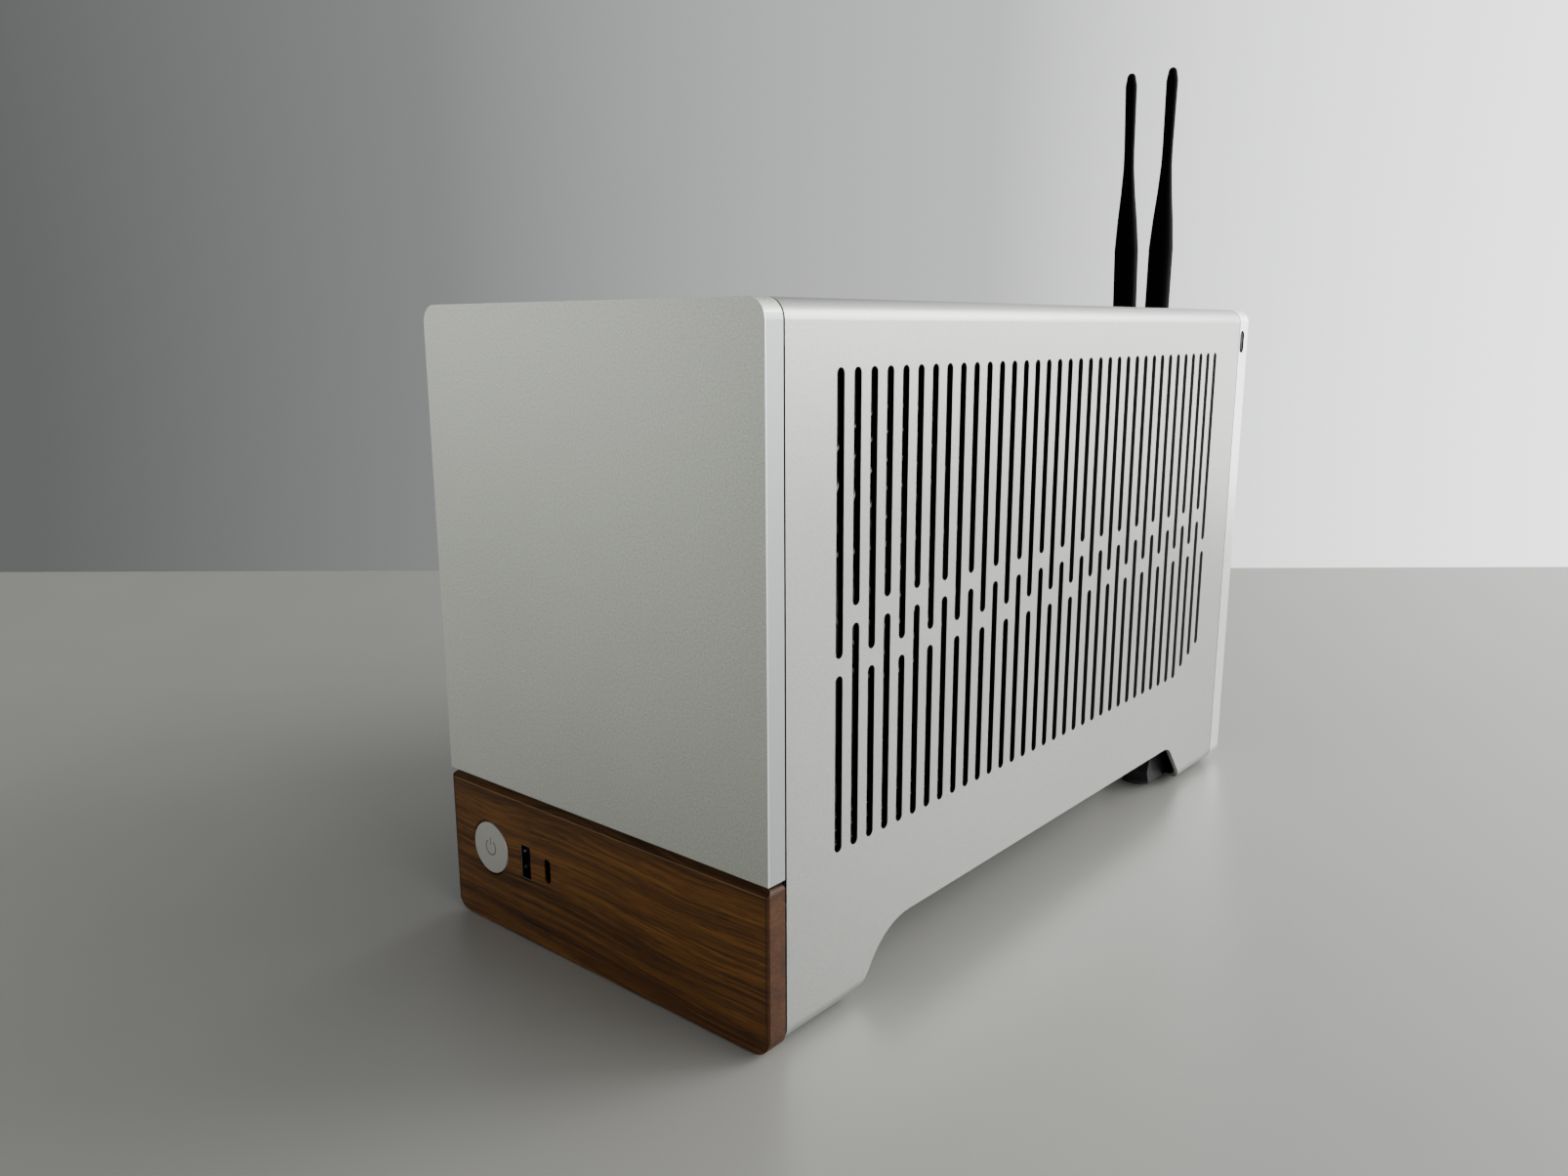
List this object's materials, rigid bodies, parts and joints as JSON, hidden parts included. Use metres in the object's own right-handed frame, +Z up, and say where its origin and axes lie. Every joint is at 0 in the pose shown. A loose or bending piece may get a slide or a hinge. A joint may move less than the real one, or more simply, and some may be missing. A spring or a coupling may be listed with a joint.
{
  "type": "desktop computer tower",
  "caption": "Narrow upright computer case with slotted aluminium side doors that swing up, a wood front base with round button and ports, and two tilting rear antennas.",
  "frame": {"origin": "centre of the footprint of the whole object, antennas included, on the plane the feet stand on", "axes": "+X to the right seen from the front, +Y from the front to the back, +Z up"},
  "size_m": [0.153, 0.36, 0.3323],
  "materials": {
    "satin_aluminium": "bead-blasted, satin",
    "bright_aluminium": "satin, brighter",
    "walnut": "oiled, dark streaks along the width",
    "black_steel": "fine powder coat",
    "black_plastic": "matt",
    "black_rubber": "matt",
    "steel": "turned",
    "circuit_board": "solder mask",
    "fin_aluminium": "bare fins",
    "gilt_brass": "plated",
    "cable_sleeve": "braided sleeve"
  },
  "bodies": {
    "chassis": {"front_panel": "satin_aluminium", "wood_front": "walnut", "front_bulkhead": "black_steel", "base_tray": "black_steel", "foot_blocks": "black_plastic", "foot_pads": "black_rubber", "rear_rim": "bright_aluminium", "rim_inserts": "black_plastic", "rear_panel": "black_steel", "top_panel": "satin_aluminium", "top_rails": "black_steel", "center_spine": "black_steel", "catch_clips": "black_plastic", "front_io_board": "circuit_board", "usb_a_port": "black_plastic", "usb_c_port": "black_plastic", "front_io_cable": "cable_sleeve", "motherboard": "circuit_board", "board_screws": "gilt_brass", "cpu_socket": "steel", "cooler_heatsink": "fin_aluminium", "cooler_fan_frame": "black_plastic", "memory_slots": "black_plastic", "memory_modules": "fin_aluminium", "vrm_heatsinks": "fin_aluminium", "board_connectors": "black_plastic", "pcie_slot": "black_plastic", "io_shield": "steel", "io_ports": "steel", "psu_case": "black_steel", "psu_grille": "steel", "psu_fan_frame": "black_plastic", "gpu_board": "circuit_board", "gpu_backplate": "black_steel", "gpu_heatsink": "fin_aluminium", "gpu_shroud": "black_plastic", "gpu_bracket": "steel", "riser_slot": "black_plastic", "riser_cable": "cable_sleeve", "power_inlet": "black_plastic", "inlet_cable": "cable_sleeve", "atx_cable": "cable_sleeve", "gpu_cable": "cable_sleeve", "antenna_jacks": "gilt_brass"},
    "right_door": {"right_door": "satin_aluminium", "right_door_pins": "steel", "right_door_studs": "steel"},
    "left_door": {"left_door": "satin_aluminium", "left_door_pins": "steel", "left_door_studs": "steel"},
    "power_button": {"power_button": "bright_aluminium"},
    "cooler_fan": {"cooler_fan_rotor": "black_plastic"},
    "supply_fan": {"psu_fan_rotor": "black_plastic"},
    "supply_switch": {"psu_rocker": "black_plastic"},
    "card_fan_front": {"gpu_rotor_front": "black_plastic"},
    "card_fan_rear": {"gpu_rotor_rear": "black_plastic"},
    "antenna_1_base": {"antenna_base_1": "black_plastic"},
    "antenna_1_blade": {"antenna_blade_1": "black_plastic"},
    "antenna_2_base": {"antenna_base_2": "black_plastic"},
    "antenna_2_blade": {"antenna_blade_2": "black_plastic"}
  },
  "joints": [
    {"name": "right_door_hinge", "type": "hinge", "parent": "chassis", "child": "right_door", "pos_m": [0.0705, 0, 0.214], "axis": [0, -1, 0], "range_deg": [0, 95]},
    {"name": "left_door_hinge", "type": "hinge", "parent": "chassis", "child": "left_door", "pos_m": [-0.0705, 0, 0.214], "axis": [0, 1, 0], "range_deg": [0, 95]},
    {"name": "power_button_press", "type": "slide", "parent": "chassis", "child": "power_button", "axis": [0, 1, 0], "range_m": [0, 0.0008], "stiffness_N_per_m": 900},
    {"name": "cooler_fan_spin", "type": "hinge", "parent": "chassis", "child": "cooler_fan", "pos_m": [0.04, 0.06, 0.105], "axis": [1, 0, 0], "continuous": true},
    {"name": "supply_fan_spin", "type": "hinge", "parent": "chassis", "child": "supply_fan", "pos_m": [0.046, -0.094, 0.1405], "axis": [1, 0, 0], "continuous": true},
    {"name": "card_fan_front_spin", "type": "hinge", "parent": "chassis", "child": "card_fan_front", "pos_m": [-0.056, -0.047, 0.104], "axis": [-1, 0, 0], "continuous": true},
    {"name": "card_fan_rear_spin", "type": "hinge", "parent": "chassis", "child": "card_fan_rear", "pos_m": [-0.056, 0.049, 0.104], "axis": [-1, 0, 0], "continuous": true},
    {"name": "supply_switch_rock", "type": "hinge", "parent": "chassis", "child": "supply_switch", "pos_m": [0.038, -0.1418, 0.183], "axis": [1, 0, 0], "range_deg": [0, 14]},
    {"name": "antenna_1_swivel", "type": "hinge", "parent": "chassis", "child": "antenna_1_base", "pos_m": [0.00835, 0.175, 0.165], "axis": [0, 1, 0], "range_deg": [-88, 2]},
    {"name": "antenna_1_tilt", "type": "hinge", "parent": "antenna_1_base", "child": "antenna_1_blade", "pos_m": [0.00835, 0.175, 0.165], "axis": [-0.9997, 0, -0.0241], "range_deg": [0, 90]},
    {"name": "antenna_2_swivel", "type": "hinge", "parent": "chassis", "child": "antenna_2_base", "pos_m": [0.0236, 0.175, 0.165], "axis": [0, 1, 0], "range_deg": [-2, 88]},
    {"name": "antenna_2_tilt", "type": "hinge", "parent": "antenna_2_base", "child": "antenna_2_blade", "pos_m": [0.0236, 0.175, 0.165], "axis": [-0.9999, 0, 0.011], "range_deg": [0, 90]}
  ]
}
